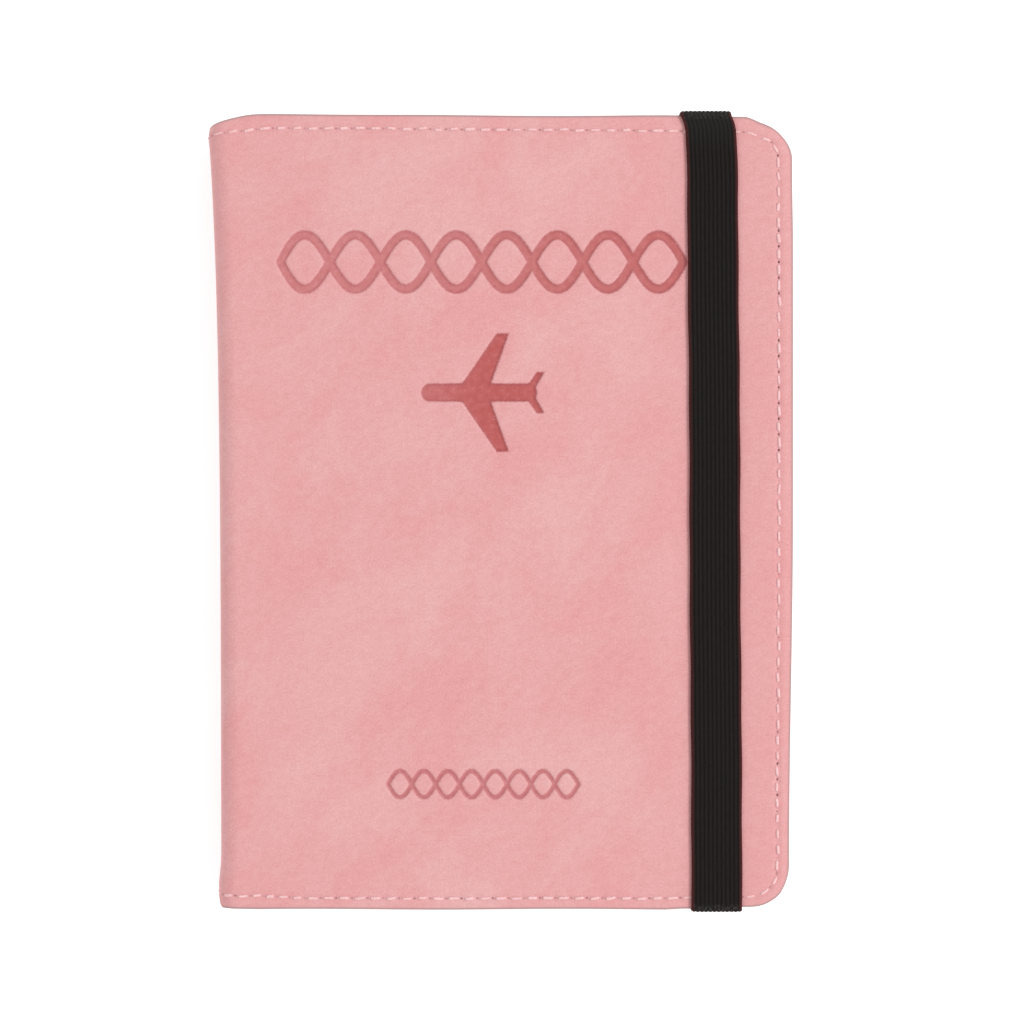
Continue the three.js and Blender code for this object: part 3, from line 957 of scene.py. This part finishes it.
def add_holes(name, path, centres, place, side, height):
    """Small sunk dishes where the needle went through."""
    half_pitch = (centres[1] - centres[0]) / 2
    t0 = np.append(centres - half_pitch, centres[-1] + half_pitch)[:, None]
    turn = np.linspace(0, 2 * math.pi, HOLE_SIDES, endpoint=False)[None, :]
    x0, y0, dx, dy = path(t0 + 0 * turn)
    points, faces = [], []
    for scale, lift in HOLE_RINGS:
        along, off = HOLE_LONG * scale * np.cos(turn), HOLE_WIDE * scale * np.sin(turn)
        X, y = x0 + dx * along - dy * off, y0 + dy * along + dx * off
        points.append(place(X, y, -(height + lift) + 0 * X))
    stack = np.stack(points, 1)
    each = len(HOLE_RINGS) * HOLE_SIDES
    ring = np.arange(HOLE_SIDES)
    for base in range(0, len(t0) * each, each):
        for k in range(len(HOLE_RINGS) - 1):
            outer = base + k * HOLE_SIDES + ring
            faces += ring_quads(outer, outer + HOLE_SIDES, side > 0)
        cap = (base + each - HOLE_SIDES + ring).tolist()
        faces.append(cap[::-1] if side < 0 else cap)
    obj = make_object(name, stack.reshape(-1, 3), faces, HOLE)
    marks = np.repeat(np.arange(len(t0)), each)
    down = np.repeat(np.abs(dy[:, 0]) > DOWN_FORE, each)
    set_vectors(obj, "stitch", np.stack([marks * HOLE_SHADE_STEP, down, marks * 0], -1))
    return obj


def make_edge_stitches():
    """The seam round the outer faces, with its thread in the groove it pulls."""
    for cover, side in (("front", 1), ("back", -1)):
        groove = cover_place(side, THREAD_SINK)
        name, seed = f"{cover}_edge_stitches", 3 + side
        pieces = add_stitches(name, seam_path, SEAM_LENGTH, groove, side, 0.0, seed)
        for obj in pieces:
            bend_over(obj, side)
        ends = ["spine_seam_thread_head", "spine_seam_thread_tail"] if side > 0 else []
        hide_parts(f"{cover}_seam_thread", *ends)


def on_inner(side, face):
    """A map for things on an inner face, whose own depths run the other way from the cover's."""
    place = cover_place(side)
    return lambda X, y, depth: place(X, y, face(X, y) - depth)


def inner_face(pockets):
    """Depth of the innermost sheet at each place, hems included."""

    def depth(X, y):
        level = lining_face(X, y)
        for pocket in pockets:
            level = np.where(pocket.covers(X, y), pocket.hemmed_face(X, y), level)
        return level

    return depth


def make_inner_stitches(stack, sleeve):
    """The same seam seen on the inner faces, where it holds the pockets."""
    for cover, side, pockets in (("front", 1, stack), ("back", -1, [sleeve])):
        place = on_inner(side, inner_face(pockets))
        name, seed = f"{cover}_inner_stitches", 11 + side
        for obj in add_stitches(name, seam_path, SEAM_LENGTH, place, -side, 0.03, seed):
            bend_over(obj, side)


def make_mouth_stitches(stack, sleeve):
    """Top-stitching along each pocket mouth, and the seam beside the card slots."""
    for pocket in stack + [sleeve]:
        if pocket.mouth == "spine":
            x = pocket.start + HEM_SEAM
            length, path = straight_path(x, -HEAD + 4.5, x, HEAD - 4.5)
        else:
            y = pocket.top - HEM_SEAM
            length, path = straight_path(pocket.start + 3, y, FORE - 4, y)
        place = on_inner(pocket.side, pocket.hemmed_face)
        name = f"{pocket.node}_mouth_stitches"
        for obj in add_stitches(name, path, length, place, -pocket.side, 0.05, 21 + len(name)):
            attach(obj, "front" if pocket.side > 0 else "back")
    make_card_seam(stack)


def make_card_seam(stack):
    low, high = box_mm("card_slot_seam_thread")
    x = (low[0] + high[0]) / 2
    length, path = straight_path(x, low[1] + 1, x, stack[1].top - 1)
    place = on_inner(1, inner_face(stack))
    pieces = add_stitches("card_slot_side_stitches", path, length, place, -1, 0.05, 17)
    for obj in pieces:
        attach(obj, "front")
    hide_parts("card_slot_seam_thread")


# ---------------------------------------------------------------- elastic band

CORDS = 12
RIB_DEPTH = 0.13
STRAP_WIDTH = strap_high[0] - strap_low[0]
STRAP_HALF = (strap_high[2] - THICK) / 2 - 0.01
STRAP_TOP, STRAP_OUT = strap_high[2] - STRAP_HALF, strap_high[1] - STRAP_HALF - 0.4


def strap_centre(y):
    """The band leans: nearer the spine at the head, with a kick at the very top."""
    lean = 0.0056 * y + 0.07 * smooth(y, 20, 60) + 0.35 * smooth(y, 58, 70) + 0.9 * smooth(y, 68.5, 72)
    return BAND_X - 0.2 - lean + 0.04 * np.sin(y / 9.0)


def arc(y, z, radius, first, last):
    """Points of an arc in y and z, its angles measured from +y towards +z."""
    angle = np.radians(np.linspace(first, last, 7))
    return [(y + radius * math.cos(a), z + radius * math.sin(a)) for a in angle]


def strap_run():
    """Middle lines in x, y and z of half the loop: the sewn-in tail, the leg and the strand."""
    tail_low, tail_high = box_mm("band_end_head")
    foot = (tail_low[2] + tail_high[2]) / 2
    bend_low, bend_top = 0.7, 0.75
    knee, shoulder = foot + bend_low, STRAP_TOP - bend_top
    tail = [(y, foot) for y in np.linspace(tail_low[1], STRAP_OUT - bend_low, 9)[:-1]]
    tail += arc(STRAP_OUT - bend_low, knee, bend_low, -90, 0)
    leg = [(STRAP_OUT, z) for z in np.linspace(knee, shoulder, 24)]
    strand = arc(STRAP_OUT - bend_top, shoulder, bend_top, 0, 90)
    strand += [(y, STRAP_TOP) for y in np.linspace(STRAP_OUT - bend_top, 0, 60)[1:]]
    return np.array(tail), np.array(leg), np.array(strand), shoulder


def strap_mesh(name, path, centre):
    """A ribbed strap swept along a path in y and z, with its middle at centre in x."""
    tangent = np.gradient(path, axis=0)
    tangent /= np.linalg.norm(tangent, axis=1)[:, None]
    normal = np.stack([-tangent[:, 1], tangent[:, 0]], -1)
    run = np.concatenate([[0], np.cumsum(np.linalg.norm(np.diff(path, axis=0), axis=1))])
    a = np.linspace(-1, 1, CORDS * 8 + 1)
    crest = np.abs(np.sin(math.pi * CORDS * (a + 1) / 2)) ** 0.8
    body = (1 - 0.55 * a**14) * (STRAP_HALF - RIB_DEPTH + RIB_DEPTH * crest)
    across = np.concatenate([a, a[::-1]])
    offset = np.concatenate([-body, body[::-1]])
    wave = 0.05 * np.sin((path[:, 0] + path[:, 1]) / 2.9) * (path[:, 1] > STRAP_TOP - 0.3)
    X = centre[:, None] + across[None] * STRAP_WIDTH / 2 + wave[:, None] * np.abs(across) ** 3
    Y = path[:, :1] + normal[:, :1] * offset[None]
    Z = path[:, 1:] + normal[:, 1:] * offset[None]
    count, loop = X.shape
    index = np.arange(count * loop).reshape(count, loop)
    faces = grid_quads(np.hstack([index, index[:, :1]]), False)
    faces += [index[0, ::-1].tolist(), index[-1].tolist()]
    obj = make_object(name, np.stack([X, Y, Z], -1).reshape(-1, 3), faces, ELASTIC)
    marks = [across * STRAP_WIDTH / 2, run[:, None], np.concatenate([crest, crest[::-1]])]
    set_vectors(obj, "strap", np.stack([np.broadcast_to(m, X.shape) for m in marks], -1).reshape(-1, 3))
    return obj


def make_strap():
    """The strand swings with its legs, which this code does not shorten as the elastic slackens; the
    tails stay sewn in.
    """
    tail, leg, half_strand, shoulder = strap_run()
    mirror = np.array([-1, 1])
    strand = np.vstack([half_strand, (half_strand * mirror)[-2::-1]])
    top = strap_mesh("elastic_strand", strand, strap_centre(strand[:, 0]))
    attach(top, "band")
    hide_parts("elastic_band")
    for end, sign in (("head", 1), ("tail", -1)):
        way = np.array([sign, 1])
        order = slice(None, None, sign)
        share = smooth(leg[:, 1], leg[0, 1], (leg[0, 1] + shoulder) / 2)
        centre = BAND_X + (strap_centre(sign * STRAP_OUT) - BAND_X) * share
        side = strap_mesh(f"elastic_leg_{end}", (leg * way)[order], centre[order])
        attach(side, "band")
        at(0, 0, shoulder)
        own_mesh(side)
        inner = strap_mesh(f"elastic_tail_{end}", (tail * way)[order], np.full(len(tail), BAND_X))
        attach(inner, "back")
        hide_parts(f"band_end_{end}")


# ---------------------------------------------------------------- stage

FLOOR_DROP = 0.95  # the band hangs this far under the back cover when it is swung behind
FLOOR_HALF = 3000.0
FLOOR_GLOW = 0.42
DOME_LIGHT = 0.78
KEY_LIGHT = dict(place=(1.7, 0.1, 2.1), size=1.0, power=37.0)  # in metres and watts
VIEW_WIDTH = 183.9
VIEW_HEIGHT = 600.0
VIEW_CENTRE = (1.98, -0.1)


def make_floor():
    s = Shader("pale_floor", 0.9)
    place = s.node("ShaderNodeTexCoord", {}).outputs["Object"]
    s.colour(s.mix(s.noise(place, 3.0, 2), srgb(243, 243, 243), srgb(246, 246, 246)))
    s.bsdf.inputs["Specular IOR Level"].default_value = 0.1
    s.bsdf.inputs["Emission Color"].default_value = (1, 1, 1, 1)
    s.bsdf.inputs["Emission Strength"].default_value = FLOOR_GLOW
    signs = ((-1, -1), (1, -1), (1, 1), (-1, 1))
    corners = [(x * FLOOR_HALF, y * FLOOR_HALF, -FLOOR_DROP) for x, y in signs]
    make_object("floor", corners, [(0, 1, 2, 3)], s.material)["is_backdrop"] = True


def make_light(name, place, size, power):
    light = bpy.data.lights.new(name, "AREA")
    light.size, light.energy = size, power
    obj = bpy.data.objects.new(name, light)
    obj.location = place
    obj.rotation_euler = (-obj.location).to_track_quat("-Z", "Y").to_euler()
    bpy.context.scene.collection.objects.link(obj)


def make_studio():
    world = bpy.data.worlds.new("studio")
    world.use_nodes = True
    tree = world.node_tree
    background = tree.nodes["Background"]
    background.inputs["Color"].default_value = (1, 1, 1, 1)
    seen = tree.nodes.new("ShaderNodeLightPath").outputs["Is Camera Ray"]
    strength = tree.nodes.new("ShaderNodeMapRange")
    strength.inputs["To Min"].default_value = DOME_LIGHT
    strength.inputs["To Max"].default_value = 1.0  # white behind the floor's far edge
    tree.links.new(seen, strength.inputs["Value"])
    tree.links.new(strength.outputs[0], background.inputs["Strength"])
    bpy.context.scene.world = world
    make_light("key_light", **KEY_LIGHT)
    bpy.context.scene.view_settings.view_transform = "Standard"


def make_camera():
    camera = bpy.data.cameras.new("camera")
    camera.sensor_width = 36.0
    camera.lens = camera.sensor_width * VIEW_HEIGHT / VIEW_WIDTH
    camera.clip_start = 0.01
    obj = bpy.data.objects.new("camera", camera)
    obj.location = at(*VIEW_CENTRE, THICK + VIEW_HEIGHT)
    bpy.context.scene.collection.objects.link(obj)
    bpy.context.scene.camera = obj


make_skins()
make_linings()
make_stiffeners()
card_stack, passport_sleeve = pocket_stack()
for item in card_stack + [passport_sleeve]:
    make_pocket(item, f"{item.node}_panel")
make_edge_stitches()
make_inner_stitches(card_stack, passport_sleeve)
make_mouth_stitches(card_stack, passport_sleeve)
make_strap()
make_floor()
make_studio()
make_camera()

boxes = {"cad": cad_box, "visual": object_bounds()}
plain = {name: [[float(c) for c in corner] for corner in box] for name, box in boxes.items()}
